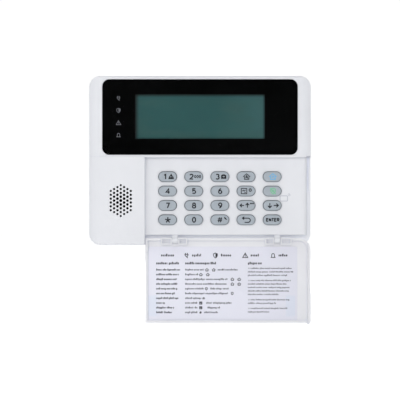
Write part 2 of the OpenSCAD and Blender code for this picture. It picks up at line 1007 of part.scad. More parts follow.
// Coil spring under the plunger's collar
module tamper_spring() {
    wire_r = 0.18;
    coil_r = 1.3;
    turns = 4;
    per_turn = 20;
    sides = 8;
    low_y = tamper_seat_y + wire_r + 0.02;
    rise = tamper_collar_y - tamper_seat_y - 2 * wire_r - 0.04;
    last = turns * per_turn;
    rings = [for (i = [0:last], j = [0:sides - 1])
        let (a = 360 * i / per_turn, b = 360 * j / sides, r = coil_r + wire_r * cos(b))
            [r * cos(a), low_y + rise * i / last + wire_r * sin(b), r * sin(a)]];
    walls = [for (i = [0:last - 1], j = [0:sides - 1])
        let (k = (j + 1) % sides)
            [i * sides + j, i * sides + k, (i + 1) * sides + k, (i + 1) * sides + j]];
    ends = [[for (j = [sides - 1:-1:0]) j], [for (j = [0:sides - 1]) last * sides + j]];
    color(steel)
    at_tamper()
        polyhedron(rings, concat(walls, ends), convexity = 8);
}

module at_terminals() {
    for (i = [0:3])
        translate([(i - 1.5) * way, 0, 0])
            children();
}

// Block with a wire hole and a screw well in each of its four ways
module terminal_block() {
    color("seagreen")
    difference() {
        box([-2 * way, board_back_y, 0], [2 * way, terminal_back_y, terminal_h]);
        at_terminals() {
            translate([0, board_back_y + 2.6, -1])
                cylinder(r = 1.4, h = 6);
            translate([0, 0, terminal_h / 2])
                post(terminal_well_r, terminal_back_y - 3.4, terminal_back_y + 1);
        }
    }
}

module terminal_screws() {
    color(steel)
    at_terminals()
        translate([0, 0, terminal_h / 2])
            screw(1.2, terminal_well_r - 0.1, terminal_back_y - 3.2, terminal_back_y - 1.6, 1.2);
}

module housing_screws() {
    color(steel)
    at_places(housing_screw_at)
        screw(screw_r, screw_head_r, housing_tip_y, housing_head_y, 1.5);
}

module board_screws() {
    color(steel)
    at_places(board_screw_at)
        screw(screw_r, screw_head_r, board_tip_y, board_back_y, 1.2);
}

module plate_lock_screw() {
    color(steel)
    translate([0, lock_y, lock_z + 1.5])
        difference() {
            union() {
                translate([0, 0, -lock_head_t])
                    cylinder(r = lock_head_r, h = lock_head_t);
                cylinder(r = screw_r, h = 7.3);
            }
            box([-lock_head_r, -slot_w / 2, -2], [lock_head_r, slot_w / 2, -lock_head_t / 2]);
        }
}

wall_plate();
rear_housing();
front_housing();
display_lens();
lens_mask();
lcd_gasket();
lcd_glass();
lcd_backlight();
lcd_frame();
lcd_ribbon();
indicator_light_guide();
indicator_leds();
main_board();
board_components();
keypad_mat();
reader_coil();
key_1();
key_2();
key_3();
key_stay_arm();
key_away_arm();
key_4();
key_5();
key_6();
key_bypass();
key_disarm();
key_7();
key_8();
key_9();
key_left_up();
key_down_right();
key_star();
key_0();
key_hash();
key_back();
key_enter();
cover_flap();
cover_label();
grille_cloth();
speaker_gasket();
speaker_frame();
speaker_cone();
speaker_magnet();
speaker_lead();
tamper_switch();
tamper_plunger();
tamper_spring();
terminal_block();
terminal_screws();
housing_screws();
board_screws();
plate_lock_screw();
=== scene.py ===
import math
import random
from collections import namedtuple

import bmesh
import bpy
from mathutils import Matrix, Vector


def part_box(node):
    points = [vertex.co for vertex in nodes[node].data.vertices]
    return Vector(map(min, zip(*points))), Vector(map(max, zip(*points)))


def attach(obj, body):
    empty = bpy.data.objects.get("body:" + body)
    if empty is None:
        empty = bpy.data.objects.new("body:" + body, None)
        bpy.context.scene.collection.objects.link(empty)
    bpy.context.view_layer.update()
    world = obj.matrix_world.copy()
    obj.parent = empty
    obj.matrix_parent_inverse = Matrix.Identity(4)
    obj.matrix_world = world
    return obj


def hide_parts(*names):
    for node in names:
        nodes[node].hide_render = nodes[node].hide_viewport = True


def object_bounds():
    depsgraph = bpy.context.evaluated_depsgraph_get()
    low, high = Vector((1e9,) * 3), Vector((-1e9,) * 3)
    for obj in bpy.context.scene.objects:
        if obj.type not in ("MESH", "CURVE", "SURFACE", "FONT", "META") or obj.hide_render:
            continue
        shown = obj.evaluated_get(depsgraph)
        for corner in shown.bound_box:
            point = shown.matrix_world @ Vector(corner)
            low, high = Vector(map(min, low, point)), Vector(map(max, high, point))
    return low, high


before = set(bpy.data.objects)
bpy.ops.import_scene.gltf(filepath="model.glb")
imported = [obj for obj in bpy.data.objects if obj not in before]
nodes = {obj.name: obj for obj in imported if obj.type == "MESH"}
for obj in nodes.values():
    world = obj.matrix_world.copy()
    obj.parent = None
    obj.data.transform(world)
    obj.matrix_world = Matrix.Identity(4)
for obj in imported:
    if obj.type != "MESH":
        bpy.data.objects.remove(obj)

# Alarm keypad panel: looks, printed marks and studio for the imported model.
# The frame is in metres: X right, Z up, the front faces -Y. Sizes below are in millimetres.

cad_low, cad_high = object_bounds()

MM = 0.001


# ---- Colours ----

def linear(level):
    """A display level from 0 to 255 as linear light."""
    share = level / 255
    return share / 12.92 if share <= 0.04045 else ((share + 0.055) / 1.055) ** 2.4


def paint(red, green, blue, light=1.0):
    """A colour from display levels, scaled by light."""
    return tuple(linear(level) * light for level in (red, green, blue)) + (1.0,)


# Surfaces in this studio look a little darker than their paint, so paints are lightened by this much
STUDIO = 1.12

SHELL = paint(227, 228, 231, STUDIO)
COVER = paint(229, 229, 231, STUDIO)
PLATE = paint(214, 216, 219, STUDIO)
RUBBER = paint(167, 175, 182, STUDIO)
INK = paint(30, 32, 38)
INK_BLUE = paint(112, 176, 216, STUDIO)
INK_GREEN = paint(118, 192, 148, STUDIO)
INK_GREY = paint(190, 192, 200, STUDIO)
INK_INDICATOR = paint(132, 135, 142, STUDIO)
INK_LABEL = paint(44, 44, 52)
LABEL = paint(232, 232, 241, STUDIO)
LABEL_TINT = paint(226, 230, 241, STUDIO)

# The display lies behind the lens and the foam's rim, so it's lightened more
BEHIND_LENS = 1.46

LCD_TEAL = paint(44, 92, 91, BEHIND_LENS)
LCD_GREY = paint(61, 105, 105, BEHIND_LENS)
LCD_WARM = paint(57, 96, 93, BEHIND_LENS)
# Painted shade the display takes on under the window's edges
LCD_EDGE_SHADE = paint(12, 22, 23)

# Painted shade in the corners of pale plastic: what it keeps of each colour, and how far from a corner it reaches
CORNER_SHADE_KEEPS = (0.64, 0.67, 0.78, 1.0)
CORNER_SHADE_REACH = 1.6

# Colour of the painted glow: light painted into gaps, as if it soaked through pale plastic
PAINTED_GLOW_COLOUR = (0.86, 0.89, 1.0, 1.0)


# ---- Materials ----

class Shader:
    """Builds one material out of nodes. Texture space is the frame, in metres."""

    def __init__(self, name):
        self.material = bpy.data.materials.new(name)
        self.material.use_nodes = True
        self.tree = self.material.node_tree
        self.tree.nodes.clear()
        self.output = self.add("ShaderNodeOutputMaterial")
        self.place = self.add("ShaderNodeTexCoord").outputs["Object"]

    def add(self, kind, inputs=None, **settings):
        node = self.tree.nodes.new(kind)
        for key, value in settings.items():
            setattr(node, key, value)
        for key, value in (inputs or {}).items():
            self.feed(node.inputs[key], value)
        return node

    def feed(self, socket, value):
        if isinstance(value, bpy.types.NodeSocket):
            self.tree.links.new(value, socket)
        else:
            socket.default_value = value

    def noise(self, size, detail=3.0, roughness=0.5, place=None):
        """Cloudy noise whose blobs are about size millimetres across."""
        return self.add("ShaderNodeTexNoise", {
            "Vector": place or self.place, "Scale": 1 / (size * MM),
            "Detail": detail, "Roughness": roughness}).outputs["Fac"]

    def cells(self, size):
        """Distance from the middle of cells about size millimetres across."""
        return self.add("ShaderNodeTexVoronoi", {"Vector": self.place, "Scale": 1 / (size * MM)}).outputs["Distance"]

    def span(self, value, low, high, to_low=0.0, to_high=1.0, smooth=False):
        return self.add("ShaderNodeMapRange", {
            "Value": value, "From Min": low, "From Max": high, "To Min": to_low, "To Max": to_high},
            interpolation_type="SMOOTHSTEP" if smooth else "LINEAR").outputs["Result"]

    def math(self, operation, a, b=0.0):
        return self.add("ShaderNodeMath", {0: a, 1: b}, operation=operation).outputs[0]

    def mix(self, share, a, b):
        node = self.add("ShaderNodeMix", data_type="RGBA")
        self.feed(node.inputs[0], share)
        self.feed(node.inputs[6], a)
        self.feed(node.inputs[7], b)
        return node.outputs[2]

    def axis(self, name, place=None):
        return self.add("ShaderNodeSeparateXYZ", {0: place or self.place}).outputs[name]

    def bump(self, height, depth, normal=None):
        """Turns a height into relief of about depth millimetres."""
        node = self.add("ShaderNodeBump", {"Height": height, "Distance": depth * MM, "Strength": 1.0})
        if normal is not None:
            self.feed(node.inputs["Normal"], normal)
        return node.outputs["Normal"]

    def soft_edges(self, radius):
        """Normals that round sharp edges off by radius millimetres."""
        return self.add("ShaderNodeBevel", {"Radius": radius * MM}, samples=6).outputs["Normal"]

    def corner_share(self, reach):
        """1 deep in a corner or gap, 0 on open faces, looking about reach millimetres around."""
        open_share = self.add("ShaderNodeAmbientOcclusion", {"Distance": reach * MM}, samples=8).outputs["AO"]
        return self.span(open_share, 0.9, 0.25)

    def edge_share(self, soft):
        """1 on sharp edges, 0 on plain faces, from rounded-off normals."""
        true = self.add("ShaderNodeNewGeometry").outputs["Normal"]
        node = self.add("ShaderNodeVectorMath", {0: soft, 1: true}, operation="DOT_PRODUCT")
        return self.span(node.outputs["Value"], 0.995, 0.8)

    def surface(self, **inputs):
        """Principled surface; underscores in the names stand for spaces."""
        node = self.add("ShaderNodeBsdfPrincipled", {k.replace("_", " "): v for k, v in inputs.items()})
        self.feed(self.output.inputs["Surface"], node.outputs[0])
        return self.material


def shade(colour, light):
    return tuple(c * light for c in colour[:3]) + (1.0,)


def moulded(name, colour, roughness=0.46, grain=0.3, depth=0.006, cloud=0.02, corner_shade=0.0, glow=0.0, glow_reach=12):
    """Moulded plastic: fine spark-eroded grain, faint flow clouds, edges worn smoother and a shade darker.
    grain and depth are the size and relief of the texture, and cloud is how strong the flow clouds are.
    corner_shade darkens its corners with painted shade; glow is painted light, a faint emission in gaps up to
    glow_reach deep, standing for light that soaks through a thin wall."""
    edge_radius, worn_tone, worn_gloss = 0.22, 0.125, 0.08
    s = Shader(name)
    clouds = s.noise(26, detail=2)
    streaks = s.noise(4.5, detail=4)
    tone = s.mix(s.span(clouds, 0.3, 0.7), shade(colour, 1 - cloud), shade(colour, 1 + cloud))
    tone = s.mix(s.span(streaks, 0.35, 0.75, 0.0, 0.35), tone, shade(colour, 1 - 1.5 * cloud))
    soft = s.soft_edges(edge_radius)
    worn = s.math("MULTIPLY", s.edge_share(soft), s.span(streaks, 0.35, 0.6, 0.25, 1.0))
    tone = s.mix(s.math("MULTIPLY", worn, worn_tone), tone, shade(colour, 0.8))
    if corner_shade:
        # Painted shade: corners and gaps darken, patchy by noise, toward a cool tint
        corner_shade_share = s.math("MULTIPLY", s.corner_share(CORNER_SHADE_REACH), s.span(s.noise(0.8, detail=3), 0.2, 0.5, 0.7, 1.0))
        tone = s.mix(s.math("MULTIPLY", corner_shade_share, corner_shade), tone, tuple(a * b for a, b in zip(colour, CORNER_SHADE_KEEPS)))
    gloss = s.span(s.noise(9, detail=3), 0.3, 0.7, roughness - 0.04, roughness + 0.05)
    gloss = s.math("SUBTRACT", gloss, s.math("MULTIPLY", worn, worn_gloss))
    relief = s.bump(s.noise(grain, detail=2, roughness=0.6), depth, soft)
    light = {}
    if glow:
        # Painted light: a faint glow in gaps, standing for light that soaks through a thin wall
        painted_glow = s.math("MULTIPLY", s.corner_share(glow_reach), glow)
        light = {"Emission_Color": PAINTED_GLOW_COLOUR, "Emission_Strength": painted_glow}
    return s.surface(Base_Color=tone, Roughness=gloss, Normal=relief, Specular_IOR_Level=0.42, **light)


def rubber(name, colour, roughness=0.6, flank_shade=1.0):
    """Silicone rubber: satin, powdery at grazing angles, with a soft fine grain.
    flank_shade is painted shade on its steep sides: what they keep of the colour, least of all where they face up."""
    s = Shader(name)
    tone = s.mix(s.span(s.noise(7, detail=3), 0.3, 0.7), shade(colour, 0.97), shade(colour, 1.03))
    dust = s.span(s.noise(0.9, detail=5), 0.5, 0.8, 0.0, 0.12)
    tone = s.mix(dust, tone, shade(colour, 1.25))
    normal = s.add("ShaderNodeNewGeometry").outputs["Normal"]
    # Painted shade on the steep sides, darkest where they face up
    steep = s.span(s.math("ABSOLUTE", s.axis("Y", normal)), 0.93, 0.6)
    shaded = s.math("MULTIPLY", steep, s.span(s.axis("Z", normal), -0.9, 0.1, 0.35, 1.0))
    tone = s.mix(shaded, tone, shade(colour, flank_shade))
    soft = s.soft_edges(0.12)
    gloss = s.span(s.noise(2.2), 0.3, 0.7, roughness - 0.06, roughness + 0.06)
    return s.surface(Base_Color=tone, Roughness=gloss, Sheen_Weight=0.08, Specular_IOR_Level=0.35,
                     Normal=s.bump(s.noise(0.22, detail=2), 0.004, soft))


def metal(name, colour, roughness=0.3, along="Z"):
    """Plated steel or copper with fine drawn lines across one axis and dull patches."""
    s = Shader(name)
    stretch = {"X": (0.05, 1, 1), "Y": (1, 0.05, 1), "Z": (1, 1, 0.05)}[along]
    drawn = s.add("ShaderNodeMapping", {"Vector": s.place, "Scale": stretch}).outputs[0]
    lines = s.noise(0.12, detail=4, place=drawn)
    dull = s.noise(2.6, detail=4)
    tone = s.mix(s.span(dull, 0.45, 0.7), colour, shade(colour, 0.72))
    gloss = s.math("ADD", s.span(lines, 0.3, 0.7, -0.06, 0.08), s.span(dull, 0.4, 0.7, roughness, roughness + 0.15))
    soft = s.soft_edges(0.1)
    return s.surface(Base_Color=tone, Metallic=1.0, Roughness=gloss, Normal=s.bump(lines, 0.004, soft))


def ink(name, colour):
    """Screen-printed ink, a little uneven, with pinholes of thinner ink."""
    s = Shader(name)
    thin = s.span(s.noise(0.35, detail=3), 0.6, 0.8, 0.0, 0.25)
    tone = s.mix(thin, colour, tuple(c * 1.2 + 0.02 for c in colour[:3]) + (1.0,))
    return s.surface(Base_Color=tone, Roughness=s.span(s.noise(1.1), 0.3, 0.7, 0.42, 0.6),
                     Normal=s.bump(s.noise(0.15), 0.003), Specular_IOR_Level=0.3)


def clear_lens():
    """Polished clear acrylic: lets light straight through and mirrors it by angle, with hairline swirls."""
    s = Shader("clear_lens")
    swirls = s.noise(0.5, detail=6, roughness=0.7)
    smears = s.noise(30, detail=4)
    relief = s.bump(swirls, 0.0004, s.soft_edges(0.18))
    share = s.add("ShaderNodeFresnel", {"IOR": 1.49, "Normal": relief}).outputs[0]
    mirror = s.add("ShaderNodeBsdfGlossy", {
        "Color": (1, 1, 1, 1), "Normal": relief,
        "Roughness": s.span(smears, 0.35, 0.7, 0.02, 0.05)}).outputs[0]
    through = s.add("ShaderNodeBsdfTransparent", {"Color": (0.985, 0.99, 0.99, 1)}).outputs[0]
    mixed = s.add("ShaderNodeMixShader", {0: share, 1: through, 2: mirror}).outputs[0]
    s.feed(s.output.inputs["Surface"], mixed)
    return s.material


def back_print():
    """Black printing behind the lens, with the faintest cloud where it was laid down."""
    s = Shader("back_print")
    tone = s.mix(s.span(s.noise(40, detail=4), 0.35, 0.7), (0.0038, 0.0040, 0.0042, 1), (0.0066, 0.0068, 0.0072, 1))
    return s.surface(Base_Color=tone, Roughness=s.span(s.noise(3), 0.3, 0.7, 0.5, 0.65),
                     Normal=s.bump(s.noise(0.4), 0.001), Specular_IOR_Level=0.0)


def lcd_panel():
    """Unlit liquid-crystal panel: teal, greyer to the right, warm clouds, and painted shade under the window's edges.
    """
    s = Shader("lcd_panel")
    low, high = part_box("lcd_glass")
    x, z = s.axis("X"), s.axis("Z")
    tone = s.mix(s.span(x, low.x + 0.055, high.x, smooth=True), LCD_TEAL, LCD_GREY)
    tilt = s.add("ShaderNodeMapping", {"Vector": s.place, "Rotation": (0, math.radians(38), 0),
                                       "Scale": (0.35, 1, 1)}).outputs[0]
    warm = s.span(s.noise(16, detail=3, place=tilt), 0.5, 0.72, 0.0, 0.7, smooth=True)
    tone = s.mix(warm, tone, LCD_WARM)
    side_border, end_border = 3.2 * MM, 2.8 * MM
    # Painted shade: the panel darkens toward the window's edges, as if shadowed by them
    unshaded = 1.0
    for place, edge, outside, inside in ((x, low.x + side_border, 0.4, 3.4), (x, high.x - side_border, 0.6, -2.1),
                                         (z, high.z - end_border, 0.6, -2.6), (z, low.z + end_border, 1.2, 1.6)):
        outside = math.copysign(outside, inside)
        lit = s.span(place, edge - outside * MM, edge + inside * MM, smooth=True)
        unshaded = s.math("MULTIPLY", unshaded, lit)
    tone = s.mix(unshaded, LCD_EDGE_SHADE, tone)
    dot_pitch = 0.6 * MM
    dots = s.math("MULTIPLY", s.math("SINE", s.math("MULTIPLY", x, math.tau / dot_pitch)),
                  s.math("SINE", s.math("MULTIPLY", z, math.tau / dot_pitch)))
    return s.surface(Base_Color=tone, Roughness=s.span(s.noise(5), 0.3, 0.7, 0.3, 0.42),
                     Normal=s.bump(dots, 0.002), Specular_IOR_Level=0.2)


def label_sheet():
    """Printed vinyl sheet: cool white, faint blue tints in its lower corners, fine pebbled film."""
    s = Shader("label_sheet")
    low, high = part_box("cover_label")
    x, z = s.axis("X"), s.axis("Z")
    band = s.math("MULTIPLY", s.span(z, low.z + 0.018, low.z + 0.0155, smooth=True),
                  s.span(z, low.z + 0.0015, low.z + 0.0035, smooth=True))
    right = s.math("MULTIPLY", s.span(x, high.x - 0.0085, high.x - 0.0072, smooth=True),
                   s.span(x, high.x - 0.0008, high.x - 0.002, smooth=True))
    left = s.span(x, low.x + 0.009, low.x + 0.004, smooth=True)
    tone = s.mix(s.math("MULTIPLY", s.math("MAXIMUM", right, left), band), LABEL, LABEL_TINT)
    fibre = s.noise(0.8, detail=5)
    tone = s.mix(s.span(fibre, 0.3, 0.7, 0.0, 0.06), tone, paint(200, 202, 214, STUDIO))
    return s.surface(Base_Color=tone, Roughness=s.span(s.noise(6), 0.3, 0.7, 0.42, 0.55),
                     Normal=s.bump(fibre, 0.003), Specular_IOR_Level=0.35)


def mesh_cloth():
    """Black woven mesh, its threads 0.3 mm apart."""
    s = Shader("mesh_cloth")
    weave = 1 / (0.3 * MM) * math.tau
    across = s.math("SINE", s.math("MULTIPLY", s.axis("X"), weave))
    upright = s.math("SINE", s.math("MULTIPLY", s.axis("Z"), weave))
    thread = s.math("MULTIPLY", across, upright)
    tone = s.mix(s.span(thread, -0.6, 0.9), (0.0012, 0.0012, 0.0014, 1), (0.008, 0.008, 0.009, 1))
    return s.surface(Base_Color=tone, Roughness=0.85, Sheen_Weight=0.02, Specular_IOR_Level=0.1,
                     Normal=s.bump(thread, 0.05))


def foam():
    s = Shader("foam")
    cell = s.cells(0.5)
    tone = s.mix(s.span(cell, 0.1, 0.6), (0.012, 0.012, 0.013, 1), (0.05, 0.05, 0.055, 1))
    return s.surface(Base_Color=tone, Roughness=0.9, Normal=s.bump(cell, 0.12), Specular_IOR_Level=0.15)


def circuit_board():
    """Green solder mask over copper tracks, with bare glass-fibre colour at its cut edges."""
    s = Shader("circuit_board")
    x, z = s.axis("X"), s.axis("Z")
    grid = s.add("ShaderNodeTexBrick", {
        "Vector": s.add("ShaderNodeCombineXYZ", {0: s.math("ADD", x, z), 1: s.math("SUBTRACT", z, x)}).outputs[0],
        "Scale": 260.0, "Mortar Size": 0.03, "Color1": (0, 0, 0, 1), "Color2": (0, 0, 0, 1),
        "Mortar": (1, 1, 1, 1)}).outputs["Color"]
    zones = s.span(s.noise(11, detail=1), 0.46, 0.54)
    track = s.math("MULTIPLY", grid, zones)
    tone = s.mix(s.span(s.noise(20), 0.3, 0.7), (0.012, 0.085, 0.04, 1), (0.018, 0.11, 0.052, 1))
    tone = s.mix(track, tone, (0.05, 0.22, 0.09, 1))
    pads = s.math("LESS_THAN", s.cells(3.4), 0.16)
    tone = s.mix(pads, tone, (0.55, 0.56, 0.57, 1))
    normal_y = s.math("ABSOLUTE", s.axis("Y", s.add("ShaderNodeNewGeometry").outputs["Normal"]))
    tone = s.mix(s.math("LESS_THAN", normal_y, 0.5), tone, (0.28, 0.26, 0.13, 1))
    return s.surface(Base_Color=tone, Metallic=pads, Roughness=s.span(track, 0, 1, 0.34, 0.26),
                     Coat_Weight=0.3, Normal=s.bump(s.math("ADD", track, pads), 0.03))


def flex_ribbon():
    s = Shader("flex_ribbon")
    lines = s.math("SINE", s.math("MULTIPLY", s.axis("X"), math.tau / 0.001))
    tone = s.mix(s.math("GREATER_THAN", lines, 0.1), (0.42, 0.17, 0.035, 1), (0.62, 0.3, 0.1, 1))
    return s.surface(Base_Color=tone, Roughness=s.span(s.noise(2), 0.3, 0.7, 0.3, 0.42),
                     Normal=s.bump(lines, 0.02), Coat_Weight=0.4)


def winding():
    """Enamelled copper wire laid side by side."""
    s = Shader("winding")
    turns = s.math("SINE", s.math("MULTIPLY", s.math("ADD", s.axis("X"), s.axis("Z")), math.tau / 0.00045))
    tone = s.mix(s.span(turns, -1, 1), (0.2, 0.06, 0.02, 1), (0.72, 0.33, 0.15, 1))
    return s.surface(Base_Color=tone, Metallic=0.85, Roughness=0.32, Coat_Weight=0.5, Normal=s.bump(turns, 0.06))


def lamp():
    s = Shader("lamp")
    phosphor = s.span(s.noise(0.5, detail=4), 0.35, 0.65)
    tone = s.mix(phosphor, (0.85, 0.8, 0.45, 1), (0.9, 0.88, 0.7, 1))
    return s.surface(Base_Color=tone, Roughness=s.span(phosphor, 0, 1, 0.25, 0.4), Coat_Weight=0.6,
                     Normal=s.bump(phosphor, 0.01, s.soft_edges(0.08)))


def light_guide():
    s = Shader("light_guide")
    haze = s.noise(1.5, detail=4)
    tone = s.mix(s.span(haze, 0.3, 0.7), (0.72, 0.78, 0.8, 1), (0.86, 0.9, 0.9, 1))
    return s.surface(Base_Color=tone, Roughness=s.span(haze, 0.3, 0.7, 0.12, 0.3), Transmission_Weight=0.6,
                     IOR=1.49, Normal=s.bump(haze, 0.004, s.soft_edges(0.1)))


def cone_paper():
    s = Shader("cone_paper")
    fibre = s.noise(0.6, detail=6, roughness=0.7)
    tone = s.mix(s.span(fibre, 0.3, 0.7), (0.006, 0.006, 0.007, 1), (0.02, 0.02, 0.022, 1))
    return s.surface(Base_Color=tone, Roughness=s.span(fibre, 0.3, 0.7, 0.6, 0.85), Normal=s.bump(fibre, 0.03))


# Finish of every CAD node that stays in view
screw_steel = metal("screw_steel", (0.62, 0.63, 0.65, 1), along="Y")
finishes = {
    "front_housing": moulded("shell_plastic", SHELL, corner_shade=0.45),
    "rear_housing": moulded("rear_plastic", SHELL, roughness=0.5, grain=0.4, depth=0.009, corner_shade=0.45, glow=0.16),
    "wall_plate": moulded("plate_plastic", PLATE, roughness=0.52, grain=0.45, depth=0.012, cloud=0.03, corner_shade=0.45),
    "display_lens": clear_lens(),
    "lens_mask": back_print(),
    "lcd_gasket": foam(),
    "lcd_glass": lcd_panel(),
    "lcd_backlight": moulded("diffuser", (0.82, 0.85, 0.83, 1), roughness=0.3, depth=0.002),
    "lcd_frame": moulded("frame_plastic", (0.74, 0.74, 0.72, 1), roughness=0.5),
    "lcd_ribbon": flex_ribbon(),
    "indicator_light_guide": light_guide(),
    "indicator_leds": lamp(),
    "main_board": circuit_board(),
    "board_components": moulded("black_package", (0.018, 0.018, 0.02, 1), roughness=0.5, grain=0.12, cloud=0.1),
    "keypad_mat": rubber("rubber_mat", (0.5, 0.53, 0.56, 1)),
    "reader_coil": winding(),
    "cover_flap": moulded("cover_plastic", COVER, roughness=0.42, corner_shade=0.5, glow=0.045, glow_reach=3),
    "grille_cloth": mesh_cloth(),
    "speaker_frame": metal("pressed_steel", (0.22, 0.23, 0.25, 1), roughness=0.42, along="Z"),
    "speaker_cone": cone_paper(),
    "speaker_magnet": metal("plated_magnet", (0.55, 0.56, 0.58, 1), roughness=0.26, along="Z"),
    "speaker_lead": rubber("wire_cover", (0.5, 0.03, 0.025, 1), roughness=0.4),
    "tamper_switch": moulded("switch_plastic", (0.02, 0.02, 0.023, 1), roughness=0.42, grain=0.15, cloud=0.08),
    "tamper_plunger": moulded("plunger_plastic", (0.8, 0.8, 0.79, 1), roughness=0.36, grain=0.2),
    "tamper_spring": metal("spring_steel", (0.6, 0.61, 0.63, 1), roughness=0.22, along="Y"),
    "terminal_block": moulded("terminal_plastic", (0.02, 0.2, 0.085, 1), roughness=0.4, grain=0.2, cloud=0.05),
    "terminal_screws": screw_steel,
    "housing_screws": screw_steel,
    "board_screws": screw_steel,
    "plate_lock_screw": screw_steel,
}
finishes["speaker_gasket"] = finishes["lcd_gasket"]


def dress(obj, material):
    obj.data.materials.clear()
    obj.data.materials.append(material)


for node, material in finishes.items():
    dress(nodes[node], material)


# ---- Mesh helpers ----

def add_object(name, data):
    obj = bpy.data.objects.new(name, data)
    bpy.context.scene.collection.objects.link(obj)
    return obj


def add_mesh(name, bm):
    """Turns a bmesh into an object in the scene."""
    mesh = bpy.data.meshes.new(name)
    bm.to_mesh(mesh)
    bm.free()
    return add_object(name, mesh)


def mount(obj, body, material):
    """Gives a piece its finish and puts it on its body."""
    dress(obj, material)
    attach(obj, body)


def finish_piece(bm, name, body, material, smooth_angle=35):
    """Closes off a mesh, shades its curves smooth and mounts it."""
    bmesh.ops.remove_doubles(bm, verts=bm.verts, dist=1e-7)
    bmesh.ops.recalc_face_normals(bm, faces=bm.faces)
    obj = add_mesh(name, bm)
    for face in obj.data.polygons:
        face.use_smooth = True
    obj.data.set_sharp_from_angle(angle=math.radians(smooth_angle))
    mount(obj, body, material)
    return obj


def middle(low, high):
    """Middle of a box, as X and Z."""
    return (low.x + high.x) / 2, (low.z + high.z) / 2


def oval_ring(width, height, steps):
    """Flat-sided oval as (u, v) points, the same number of them whatever its size."""
    radius = height / 2
    side = (width - height) / 2
    ring = []
    for i in range(steps):
        turn = math.tau * (i + 0.5) / steps
        ring.append((radius * math.cos(turn) + math.copysign(side, math.cos(turn)), radius * math.sin(turn)))
    return ring


def rounded_ring(width, height, radius, steps=6):
    """Rectangle with round corners as (u, v) points, anticlockwise."""
    ring = []
    for quarter, (su, sv) in enumerate(((1, 1), (-1, 1), (-1, -1), (1, -1))):
        for i in range(steps + 1):
            turn = math.radians(90 * (quarter + i / steps))
            ring.append((su * (width / 2 - radius) + radius * math.cos(turn),
                         sv * (height / 2 - radius) + radius * math.sin(turn)))
    return ring


def loft(bm, rings):
    """Skins a stack of rings of points, and closes both ends."""
    loops = [[bm.verts.new(p) for p in ring] for ring in rings]
    count = len(loops[0])
    for a, b in zip(loops, loops[1:]):
        for i in range(count):
            j = (i + 1) % count
            bm.faces.new((a[i], a[j], b[j], b[i]))
    bm.faces.new(loops[0][::-1])
    bm.faces.new(loops[-1])


# ---- Printed marks ----

def arc(cu, cv, ru, rv, start, end, steps=14):
    """Part of an ellipse, from start to end in degrees."""
    return [(cu + ru * math.cos(math.radians(start + (end - start) * i / steps)),
             cv + rv * math.sin(math.radians(start + (end - start) * i / steps))) for i in range(steps + 1)]


def ring(cu, cv, ru, rv, steps=20):
    return arc(cu, cv, ru, rv, 0, 360, steps)[:-1]


def moved(points, du, dv, scale=1.0):
    return [(du + u * scale, dv + v * scale) for u, v in points]


class Print:
    """Thin raised marks on a flat face. Each mark is a closed solid; (u, v) are millimetres from the origin point."""

    thickness = 0.03
    bite = 0.02
    layer = 0.0015

    def __init__(self, origin):
        self.origin = origin
        self.bm = bmesh.new()
        self.marks = 0

    def point(self, uv, height):
        return self.bm.verts.new((self.origin[0] + uv[0] * MM, self.origin[1] - height * MM,
                                  self.origin[2] + uv[1] * MM))

    def top(self):
        """Marks that cross lie a hair above one another."""
        self.marks += 1
        return self.thickness + self.layer * (self.marks % 4)

    def fill(self, outline):
        top = self.top()
        front = [self.point(p, top) for p in outline]
        back = [self.point(p, -self.bite) for p in outline]
        self.bm.faces.new(front)
        self.bm.faces.new(back[::-1])
        for i in range(len(outline)):
            j = (i + 1) % len(outline)
            self.bm.faces.new((front[j], front[i], back[i], back[j]))

    def stroke(self, points, width, closed=False):
        top = self.top()
        count = len(points)
        sides = []
        for i, (u, v) in enumerate(points):
            before = points[i - 1] if i or closed else points[i]
            after = points[(i + 1) % count] if i < count - 1 or closed else points[i]
            a = Vector((u - before[0], v - before[1])).normalized()
            b = Vector((after[0] - u, after[1] - v)).normalized()
            along = (a + b).normalized() if (a + b).length > 0.01 else (b if b.length else a)
            reach = width / 2 / max(along.dot(b if b.length else a), 0.5)
            left = (u - along.y * reach, v + along.x * reach)
            right = (u + along.y * reach, v - along.x * reach)
            sides.append([self.point(left, top), self.point(right, top),
                          self.point(right, -self.bite), self.point(left, -self.bite)])
        for i in range(count if closed else count - 1):
            a, b = sides[i], sides[(i + 1) % count]
            for k in range(4):
                m = (k + 1) % 4
                self.bm.faces.new((a[k], a[m], b[m], b[k]))
        if not closed:
            self.bm.faces.new(sides[0][::-1])
            self.bm.faces.new(sides[-1])

    def draw(self, strokes, width, du=0.0, dv=0.0, scale=1.0):
        """Draws a list of strokes; one that ends in "closed" joins up, one that ends in "fill" is solid."""
        for item in strokes:
            kind = item[-1] if isinstance(item[-1], str) else ""
            points = moved(item[:-1] if kind else item, du, dv, scale)
            if kind == "fill":
                self.fill(points)
            else:
                self.stroke(points, width, kind == "closed")

    def finish(self, name, body, material):
        bmesh.ops.recalc_face_normals(self.bm, faces=self.bm.faces)
        mount(add_mesh(name, self.bm), body, material)


